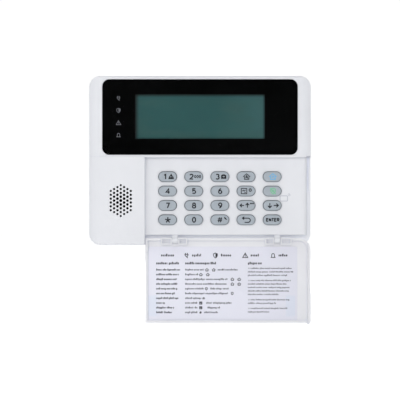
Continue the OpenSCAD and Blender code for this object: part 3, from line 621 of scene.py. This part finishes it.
# Digits and signs, drawn 3.4 mm high about their middle
DIGITS = {
    "0": [ring(0, 0, 1.02, 1.62) + ["closed"]],
    "1": [[(-0.75, 0.95), (0.2, 1.65), (0.2, -1.7)]],
    "2": [arc(0, 0.65, 1.0, 1.0, 165, -38) + [(-1.05, -1.6), (1.15, -1.6)]],
    "3": [arc(-0.1, 0.82, 0.92, 0.82, 150, -80), arc(-0.1, -0.78, 1.08, 0.88, 80, -150)],
    "4": [[(0.55, -1.75), (0.55, 1.6), (-1.2, -0.7), (1.25, -0.7)]],
    "5": [[(1.0, 1.6), (-0.75, 1.6), (-0.85, 0.15)] + arc(-0.05, -0.58, 1.08, 1.04, 122, -150)],
    "6": [ring(0, -0.62, 1.05, 1.02) + ["closed"], arc(1.35, -0.5, 2.35, 2.3, 108, 172, 8)],
    "7": [[(-1.1, 1.6), (1.05, 1.6), (-0.3, -1.75)]],
    "8": [ring(0, 0.86, 0.88, 0.78) + ["closed"], ring(0, -0.82, 1.08, 0.9) + ["closed"]],
    "9": [ring(0, 0.62, 1.05, 1.02) + ["closed"], arc(-1.35, 0.5, 2.35, 2.3, -72, -8, 8)],
    "*": [[(0, 0), (1.75 * math.sin(math.radians(a)), 1.75 * math.cos(math.radians(a)))] for a in range(0, 360, 72)],
    "#": [[(-0.9, -1.7), (-0.2, 1.7)], [(0.35, -1.7), (1.05, 1.7)],
          [(-1.4, 0.6), (1.6, 0.6)], [(-1.6, -0.6), (1.4, -0.6)]],
}

# Capital strokes for the plain function word on the last key, drawn in a 1 by 1 square
WORD = [
    [[(1, 1), (0, 1), (0, 0), (1, 0)], [(0, 0.52), (0.85, 0.52)]],
    [[(0, 0), (0, 1)], [(0, 1), (1, 0)], [(1, 0), (1, 1)]],
    [[(-0.05, 1), (1.05, 1)], [(0.5, 1), (0.5, 0)]],
    [[(1, 1), (0, 1), (0, 0), (1, 0)], [(0, 0.52), (0.85, 0.52)]],
    [[(0, 0), (0, 1), (0.7, 1), (1, 0.86), (1, 0.64), (0.7, 0.5), (0, 0.5)], [(0.5, 0.5), (1.05, 0)]],
]

HOUSE = [[(0, 2.15), (2.45, 0.2), (1.65, 0.2), (1.65, -1.95), (-1.65, -1.95), (-1.65, 0.2), (-2.45, 0.2), "closed"]]
SHIELD = [(0, 2.0), (1.6, 1.35), (1.55, -0.3), (0.9, -1.35), (0, -2.0), (-0.9, -1.35), (-1.55, -0.3), (-1.6, 1.35)]
ARROW = {
    "left": [[(1.6, 0), (-1.5, 0)], [(-0.2, 1.35), (-1.6, 0), (-0.2, -1.35)]],
    "right": [[(-1.6, 0), (1.5, 0)], [(0.2, 1.35), (1.6, 0), (0.2, -1.35)]],
    "up": [[(0, -1.6), (0, 1.5)], [(-1.35, 0.2), (0, 1.6), (1.35, 0.2)]],
    "down": [[(0, 1.6), (0, -1.5)], [(-1.35, -0.2), (0, -1.6), (1.35, -0.2)]],
}
FIRE = [[(-1.2, -0.9), (-1.15, 0.0), (-0.45, 0.6), (0, 1.6), (0.45, 0.6), (1.15, 0.0), (1.2, -0.9), "closed"],
        [(-2.0, -1.8), (2.0, -1.8), (1.7, -0.5), (-1.7, -0.5), "fill"], [(0, 0.9), (0, -0.6)]]
CASE = [[(-1.2, -0.95), (-1.2, 0.6), (-0.5, 1.0), (0.5, 1.0), (1.2, 0.6), (1.2, -0.95), "closed"],
        ring(0, 0, 0.2, 0.2, 8) + ["fill"]]
FRAME = [[(-1.9, -1.8), (-1.9, 1.8), (1.9, 1.8), (1.9, -1.8), "closed"],
         [(-1.2, -0.1), (-0.5, 0.6), (0.1, 0.0), (1.1, 0.9)], [(0.2, -0.9), (1.2, -0.9)]]
BACK_ARROW = [[(-1.5, 2.1), (-2.75, 1.15), (-1.5, 0.2)],
              [(-2.6, 1.15), (1.2, 1.15)] + arc(1.2, -0.3, 1.5, 1.45, 80, -90, 10) + [(-1.2, -1.75)]]
PLUG = [[(-1.0, 2.1), (-0.6, 0.9)], [(0.75, 2.1), (0.65, 0.9)],
        [(-1.35, 0.9), (1.2, 0.9), (1.0, -0.3), (0.3, -0.9), (-0.5, -0.7), (-1.1, 0.0), "closed"],
        [(0.1, -0.9), (0.4, -1.6), (1.1, -2.1)]]
HALF_SHIELD = [SHIELD + ["closed"], [(0, 1.9), (1.5, 1.3), (1.45, -0.3), (0.85, -1.25), (0, -1.9), "fill"]]
TRIANGLE = [[(0, 1.9), (2.1, -1.7), (-2.1, -1.7), "closed"], [(0, 0.8), (0, -0.4)], [(0, -0.75), (0, -1.2)]]
SIREN = [[(-1.15, -1.55)] + arc(0, 0.15, 1.15, 1.45, 180, 0, 10) + [(1.15, -1.55)], [(-1.95, -1.6), (1.95, -1.6)]]

DIGIT_STROKE = 0.84
ARROW_STROKE = 0.68
FINE_STROKE = 0.55

# Small signs that stand inside or beside others
PERSON = [ring(0, 0.35, 0.5, 0.5, 12) + ["closed"], [(-0.8, -1.3), (-0.55, -0.5), (0.55, -0.5), (0.8, -1.3)]]
KEY_AND_DOT = [[(-0.7, -1.0), (0.2, 0.6), (0.5, -0.4)], ring(1.7, -1.3, 0.5, 0.5, 10) + ["fill"]]
STRUCK_SHIELD = [SHIELD + ["closed"], ring(0, 0, 0.45, 0.5, 10) + ["closed"], [(-1.9, 1.9), (1.9, -2.0)]]
SKIP_DIAL = [ring(0, 0, 0.85, 0.95, 16) + ["closed"], [(-0.3, -0.2), (0.35, 0.25)]]
PEN = [[(-1.0, 1.0), (-0.2, 0.95), (1.1, -0.7), (0.5, -1.0), (-0.9, 0.2), "fill"]]
TALL_RING = [ring(0, 0, 0.5, 0.85, 10) + ["closed"]]
SMALL_RING = [ring(0, 0, 0.25, 0.32, 8) + ["closed"]]

DIGIT_BESIDE = -1.75
LETTER_W, LETTER_H = 1.2, 1.95
LETTER_PITCH = 1.86
LETTER_STROKE = 0.66


def letter_strokes(letter):
    return [[(u * LETTER_W, (v - 0.5) * LETTER_H) for u, v in line] for line in letter]


# The signs on each key, in drawing order: strokes, stroke width, offset across and up, scale
SIGNS = {
    "key_1": [(FIRE, 0.6, 2.3, 0.1)],
    "key_2": [(TALL_RING, 0.5, 0.85 + 1.62 * i, 0.1) for i in range(3)],
    "key_3": [(CASE, 1.15, 2.4, 0.05)],
    "key_stay_arm": [(HOUSE, FINE_STROKE, 0.2, 0, 0.93), (PERSON, FINE_STROKE, 0.2, 0, 0.93)],
    "key_away_arm": [(HOUSE, ARROW_STROKE, 0.25, 0, 0.95), (KEY_AND_DOT, ARROW_STROKE, 0.25, 0, 0.95)],
    "key_bypass": [(FRAME, FINE_STROKE, -1.6), (SKIP_DIAL, 0.5, 2.7, 0.7)],
    "key_disarm": [(STRUCK_SHIELD, 0.58, 0.35)],
    "key_left_up": [(ARROW["left"], ARROW_STROKE, -2.9, 0, 0.88), (ARROW["up"], ARROW_STROKE, 0.7, 0, 0.94)]
                   + [(SMALL_RING, 0.42, 2.9 + 0.95 * i, 1.35) for i in range(3)],
    "key_down_right": [(ARROW["down"], ARROW_STROKE, -1.85), (ARROW["right"], ARROW_STROKE, 2.4)],
    "key_star": [(DIGITS["*"], DIGIT_STROKE, 0, -0.2, 1.15)],
    "key_hash": [(DIGITS["#"], LETTER_STROKE, -0.2), (PEN, FINE_STROKE, 3.65, 0.9)],
    "key_back": [(BACK_ARROW, ARROW_STROKE)],
    "key_enter": [(letter_strokes(letter), LETTER_STROKE, -4.15 + LETTER_PITCH * i) for i, letter in enumerate(WORD)],
}


def draw_legend(name, sheet):
    """The marks on one key, from its middle: its digit, if it has one, then its signs."""
    signs = SIGNS.get(name, [])
    if name[-1].isdigit():
        sheet.draw(DIGITS[name[-1]], DIGIT_STROKE, DIGIT_BESIDE if signs else 0)
    for sign in signs:
        sheet.draw(*sign)


# ---- Keys: crowned rubber caps ----

FLANGE_GROW = 1.8
FLANGE_T = 0.8
FLANGE_TO_BACK = 0.8
PLUNGER_R = 1.6
RING_STEPS = 56
EDGE_FILLET = 0.55
CROWN_W = 1.15
CROWN_DROP = 0.14
# Printing sits this far right of each key's middle
LEGEND_SHIFT = 0.2

key_material = rubber("key_rubber", RUBBER, flank_shade=0.4)
legend_inks = {name: ink("legend_" + name, colour) for name, colour in
               (("dark", INK), ("blue", INK_BLUE), ("green", INK_GREEN))}


def build_key(node):
    low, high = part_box(node)
    cx, cz = middle(low, high)
    width = (high.x - low.x) / MM - FLANGE_GROW
    height = (high.z - low.z) / MM - FLANGE_GROW
    front, back = low.y / MM, high.y / MM
    flange_back = back - FLANGE_TO_BACK
    chamfer = 0.15
    plunger_end, plunger = 2 * (PLUNGER_R - chamfer), 2 * PLUNGER_R
    stack = [
        (plunger_end, plunger_end, back),
        (plunger, plunger, back - chamfer),
        (plunger, plunger, flange_back),
        (width + FLANGE_GROW, height + FLANGE_GROW, flange_back),
        (width + FLANGE_GROW, height + FLANGE_GROW, flange_back - FLANGE_T),
        (width, height, flange_back - FLANGE_T),
    ]
    fillet_steps, crown_steps = 6, 4
    for i in range(fillet_steps + 1):
        turn = math.radians(90 * i / fillet_steps)
        inset = EDGE_FILLET * (1 - math.cos(turn))
        depth = CROWN_DROP + EDGE_FILLET * (1 - math.sin(turn))
        stack.append((width - 2 * inset, height - 2 * inset, front + depth))
    for i in range(1, crown_steps + 1):
        share = i / crown_steps
        inset = EDGE_FILLET + CROWN_W * share
        stack.append((width - 2 * inset, height - 2 * inset, front + CROWN_DROP * (1 - share) ** 2))
    bm = bmesh.new()
    loft(bm, [[(cx + u * MM, y * MM, cz + v * MM) for u, v in oval_ring(w, h, RING_STEPS)] for w, h, y in stack])
    cap = finish_piece(bm, "cap_" + node, node, key_material)
    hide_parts(node)
    sheet = Print((cx + LEGEND_SHIFT * MM, low.y, cz))
    draw_legend(node, sheet)
    colour = {"key_away_arm": "blue", "key_disarm": "green"}.get(node, "dark")
    sheet.finish("legend_" + node, node, legend_inks[colour])


for node in sorted(n for n in nodes if n.startswith("key_")):
    build_key(node)


# ---- Marks on the housing ----

BAY_DEPTH = 5.5
INDICATORS = (PLUG, HALF_SHIELD, TRIANGLE, SIREN)


def build_indicators():
    """Four plain symbols in the lens's printing, in front of the light guides."""
    low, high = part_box("indicator_light_guide")
    mask_low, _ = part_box("lens_mask")
    sheet = Print(((low.x + high.x) / 2, mask_low.y, 0))
    inset, stroke, scale = 2.2, 0.4, 0.76
    top, bottom = high.z / MM - inset, low.z / MM + inset
    for i, marks in enumerate(INDICATORS):
        sheet.draw(marks, stroke, 0, top + (bottom - top) * i / (len(INDICATORS) - 1), scale)
    sheet.finish("indicator_symbols", "housing", ink("indicator_ink", INK_INDICATOR))


def build_card_mark():
    """Card outline and two waves beside the keys, where a card is held."""
    key_low, key_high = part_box("key_disarm")
    bay_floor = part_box("front_housing")[0].y + BAY_DEPTH * MM
    sheet = Print((key_high.x + 1.25 * MM, bay_floor, key_low.z - 1.05 * MM))
    sheet.draw([rounded_ring(5.2, 3.6, 0.6) + ["closed"]], 0.5, -0.4, 0.3)
    sheet.draw([arc(2.0, 1.5, 1.4, 1.4, 75, 15, 6), arc(2.0, 1.5, 2.3, 2.3, 70, 20, 6)], 0.42)
    sheet.finish("card_symbol", "housing", ink("card_ink", INK_GREY))


build_indicators()
build_card_mark()


# ---- Label inside the cover ----

# How each kind of line is printed, in millimetres; inked is a share of the pitch, longest counts letters in a word
Style = namedtuple("Style", "pitch inked low_rise high_rise longest")
HEADER = Style(1.2, 0.68, 1.2, 1.75, 12)
TITLE = Style(1.1, 0.74, 1.2, 1.65, 10)
NAME = Style(0.92, 0.76, 0.92, 1.3, 7)
PLAIN = Style(0.92, 0.66, 0.85, 1.2, 9)
NOTE = Style(0.7, 0.6, 0.72, 1.0, 8)

# Where the lines stand, in millimetres right of the sheet's left edge and down from its top
NAME_LEFT, STEP_LEFT, NOTE_LEFT = 4.7, 24.8, 68.2
HEADER_V, TITLE_V, FIRST_ROW_V = -6.1, -11.6, -16.05
ROW_PITCH = 3.28
NOTE_PITCH = 2.4
NUMBER_GAP = 1.9
WORD_GAP = 0.45
TAIL = 0.3

HEADER_SIGNS = ((PLUG, 25.7), (HALF_SHIELD, 45.7), (TRIANGLE, 66.3), (SIREN, 85.6))
HEADER_WORDS = ((8.1, 17.2), (29.5, 35.7), (49.5, 56.4), (70.1, 75.7), (89.4, 95.6))
TITLE_WORDS = ((NAME_LEFT, 20.4), (STEP_LEFT, 46.0), (NOTE_LEFT, 77.7))
NAME_LENGTHS = (16.5, 15.9, 15.2, 14.5, 14.5, 13.1, 15.2, 6.2, 12.4, 11.0)

# The steps beside each name: pairs of numbers are runs of words, from and to; a sign has its middle
STEPS = (
    ((0, 12.6), ("house", 15.0), ("house", 19.7), (22.5, 36.2)),
    ((0, 8.8), ("house", 10.8), ("house", 15.6)),
    ((0, 29.5), ("house", 32.6), ("house", 37.3)),
    ((0, 29.5), ("house", 32.6), ("house", 37.3)),
    ((0, 12.8), ("shield", 14.6), (17.5, 29.9)),
    ((0, 29.5), ("shield", 32.5)),
    ((0, 11.0), ("case", 12.7)),
    ((0, 8.8), ("frame", 10.7), (14.5, 31.9)),
    ((0, 8.8), ("frame", 10.7), (15.5, 24.4)),
    ((0, 8.8), ("hash", 10.6), (13.2, 22.5)),
)
STEP_SIGNS = {"house": HOUSE, "shield": [SHIELD + ["closed"]], "case": CASE, "frame": FRAME, "hash": DIGITS["#"]}

# Numbered notes: height of the first line, then the length of each line
NOTES = (
    (-15.1, (30.2, 31.3, 27.4)),
    (-23.5, (29.5, 26.7, 29.1, 28.1, 21.2)),
    (-36.8, (28.8, 19.6)),
    (-42.8, (27.4, 15.0)),
)


def word_blocks(sheet, rng, start, end, v, style):
    """A run of greeked print from start to end: blocks of uneven width and height that only look like small text.
    A quarter of them stand tall and one in twelve hangs below the line."""
    base = v - style.low_rise / 2
    u = start
    while u < end - 0.4 * style.pitch:
        word_end = min(end, u + style.pitch * rng.randint(style.longest // 2, style.longest))
        while u < word_end - 0.3 * style.pitch:
            cell = style.pitch * rng.uniform(0.8, 1.2)
            width = min(cell * style.inked, word_end - u)
            tall = rng.random()
            rise = style.high_rise if tall < 0.25 else style.low_rise
            drop = TAIL if tall > 0.92 else 0.0
            sheet.fill([(u, base - drop), (u + width, base - drop), (u + width, base + rise), (u, base + rise)])
            u += cell
        u += WORD_GAP * style.pitch


def build_label_sheet():
    """The sheet itself, with round corners and a small chamfer."""
    low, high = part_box("cover_label")
    width, height = (high.x - low.x) / MM, (high.z - low.z) / MM
    cx, cz = middle(low, high)
    corner, chamfer = 1.0, 0.04
    outline = rounded_ring(width, height, corner)
    inner = rounded_ring(width - 2 * chamfer, height - 2 * chamfer, corner - chamfer)
    bm = bmesh.new()
    loft(bm, [[(cx + u * MM, y, cz + v * MM) for u, v in points] for points, y in
              ((outline, high.y), (outline, low.y + chamfer * MM), (inner, low.y))])
    sheet = finish_piece(bm, "label_sheet", "cover", label_sheet(), 60)
    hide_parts("cover_label")


def build_label_print():
    """Greeked lines and plain signs, laid out as a header, two columns of names and steps, and a column of notes."""
    low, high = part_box("cover_label")
    rng = random.Random(7)
    sheet = Print((low.x + 0.65 * MM, low.y, high.z))
    for sign, centre in HEADER_SIGNS:
        sheet.draw(sign, 0.5, centre, HEADER_V, 0.84)
    for start, end in HEADER_WORDS:
        word_blocks(sheet, rng, start, end, HEADER_V, HEADER)
    for start, end in TITLE_WORDS:
        word_blocks(sheet, rng, start, end, TITLE_V, TITLE)
    for row, (length, parts) in enumerate(zip(NAME_LENGTHS, STEPS)):
        v = FIRST_ROW_V - ROW_PITCH * row
        word_blocks(sheet, rng, NAME_LEFT, NAME_LEFT + length, v, NAME)
        for first, second in parts:
            if first in STEP_SIGNS:
                sheet.draw(STEP_SIGNS[first], 0.48, STEP_LEFT + second, v, 0.42)
            else:
                word_blocks(sheet, rng, STEP_LEFT + first, STEP_LEFT + second, v, PLAIN)
    for v, lengths in NOTES:
        bar = NOTE_LEFT + 0.7
        sheet.stroke([(bar, v - 0.36), (bar, v + 0.5)], 0.4)
        for line, length in enumerate(lengths):
            start = NOTE_LEFT + (0 if line else NUMBER_GAP)
            word_blocks(sheet, rng, start, NOTE_LEFT + length, v - NOTE_PITCH * line, NOTE)
    sheet.finish("label_print", "cover", ink("label_ink", INK_LABEL))


build_label_sheet()
build_label_print()


# ---- Studio ----

def build_floor():
    """White floor just under the part, which glows a little, and more to the camera than to the part."""
    glow_to_part, glow_more_to_camera = 0.2, 0.51
    bm = bmesh.new()
    bmesh.ops.create_grid(bm, x_segments=8, y_segments=8, size=4.0)
    floor = add_mesh("floor", bm)
    floor.location.z = cad_low.z - 0.4 * MM
    s = Shader("floor_paint")
    to_camera = s.add("ShaderNodeLightPath").outputs["Is Camera Ray"]
    strength = s.math("ADD", s.math("MULTIPLY", to_camera, glow_more_to_camera), glow_to_part)
    surface = s.add("ShaderNodeBsdfDiffuse", {"Color": (0.8, 0.8, 0.8, 1)}).outputs[0]
    glow = s.add("ShaderNodeEmission", {"Color": (1, 1, 1, 1), "Strength": strength}).outputs[0]
    both = s.add("ShaderNodeAddShader", {0: surface, 1: glow}).outputs[0]
    s.feed(s.output.inputs["Surface"], both)
    dress(floor, s.material)


# Name, place, width and height in metres, power in watts
SOFTBOXES = (
    ("strip_left", (-0.42, -1.72, 0), (0.28, 0.8), 2.8),
    ("strip_right", (0.42, -1.72, 0), (0.28, 0.8), 1.26),
    ("strip_top", (0, -1.66, 0.48), (0.8, 0.3), 3.65),
    ("softbox_left", (-0.95, -1.35, 0.3), (0.8, 1.0), 3.0),
    ("softbox_top", (0, -0.9, 1.4), (1.2, 0.8), 2.54),
    ("softbox_side", (1.5, -0.5, 0.1), (0.8, 1.0), 1.99),
    ("softbox_back", (-0.5, 1.4, 0.7), (1.0, 0.8), 14),
)
WARM_WHITE = (1.0, 0.992, 0.98)
AIM = Vector((0, 0, -0.03))


def build_softbox(name, where, size, power):
    """Soft lamp that looks at the part and stays out of the picture."""
    data = bpy.data.lights.new(name, "AREA")
    data.shape = "RECTANGLE"
    data.size, data.size_y = size
    data.energy = power
    data.color = WARM_WHITE
    light = add_object(name, data)
    light.location = where
    light.rotation_mode = "QUATERNION"
    light.rotation_quaternion = (AIM - Vector(where)).to_track_quat("-Z", "Y")
    light.visible_camera = False


def build_world():
    """White to the camera, and a cool even glow to the object, dark straight in front so the lens stays black."""
    dark_inside, full_outside = -0.996, -0.97
    dark, even, white = 0.004, 0.423, 1.02
    world = bpy.data.worlds.new("studio")
    bpy.context.scene.world = world
    world.use_nodes = True
    nodes_here, links = world.node_tree.nodes, world.node_tree.links
    nodes_here.clear()

    def background(colour, strength):
        node = nodes_here.new("ShaderNodeBackground")
        node.inputs["Color"].default_value = colour
        node.inputs["Strength"].default_value = strength
        return node

    coords = nodes_here.new("ShaderNodeTexCoord")
    split = nodes_here.new("ShaderNodeSeparateXYZ")
    links.new(coords.outputs["Generated"], split.inputs[0])
    fade = nodes_here.new("ShaderNodeMapRange")
    fade.interpolation_type = "SMOOTHSTEP"
    for socket, value in (("From Min", dark_inside), ("From Max", full_outside), ("To Min", dark), ("To Max", even)):
        fade.inputs[socket].default_value = value
    links.new(split.outputs["Y"], fade.inputs["Value"])
    to_part = background((0.95, 0.975, 1.03, 1), even)
    links.new(fade.outputs["Result"], to_part.inputs["Strength"])
    to_camera = background((1, 1, 1, 1), white)
    path = nodes_here.new("ShaderNodeLightPath")
    choose = nodes_here.new("ShaderNodeMixShader")
    links.new(path.outputs["Is Camera Ray"], choose.inputs[0])
    links.new(to_part.outputs[0], choose.inputs[1])
    links.new(to_camera.outputs[0], choose.inputs[2])
    output = nodes_here.new("ShaderNodeOutputWorld")
    links.new(choose.outputs[0], output.inputs["Surface"])


def build_camera():
    """Long lens straight in front, a little below the housing's middle."""
    distance = 1.744
    view_width = 0.2756
    data = bpy.data.cameras.new("camera")
    data.sensor_width = 36
    data.lens = data.sensor_width * distance / view_width
    data.clip_start, data.clip_end = 0.05, 50
    camera = add_object("camera", data)
    camera.location = (0, -0.024 - distance, -0.0272)
    camera.rotation_euler = (math.radians(90), 0, 0)
    bpy.context.scene.camera = camera


build_floor()
for softbox in SOFTBOXES:
    build_softbox(*softbox)
build_world()
build_camera()
bpy.context.scene.view_settings.view_transform = "Standard"
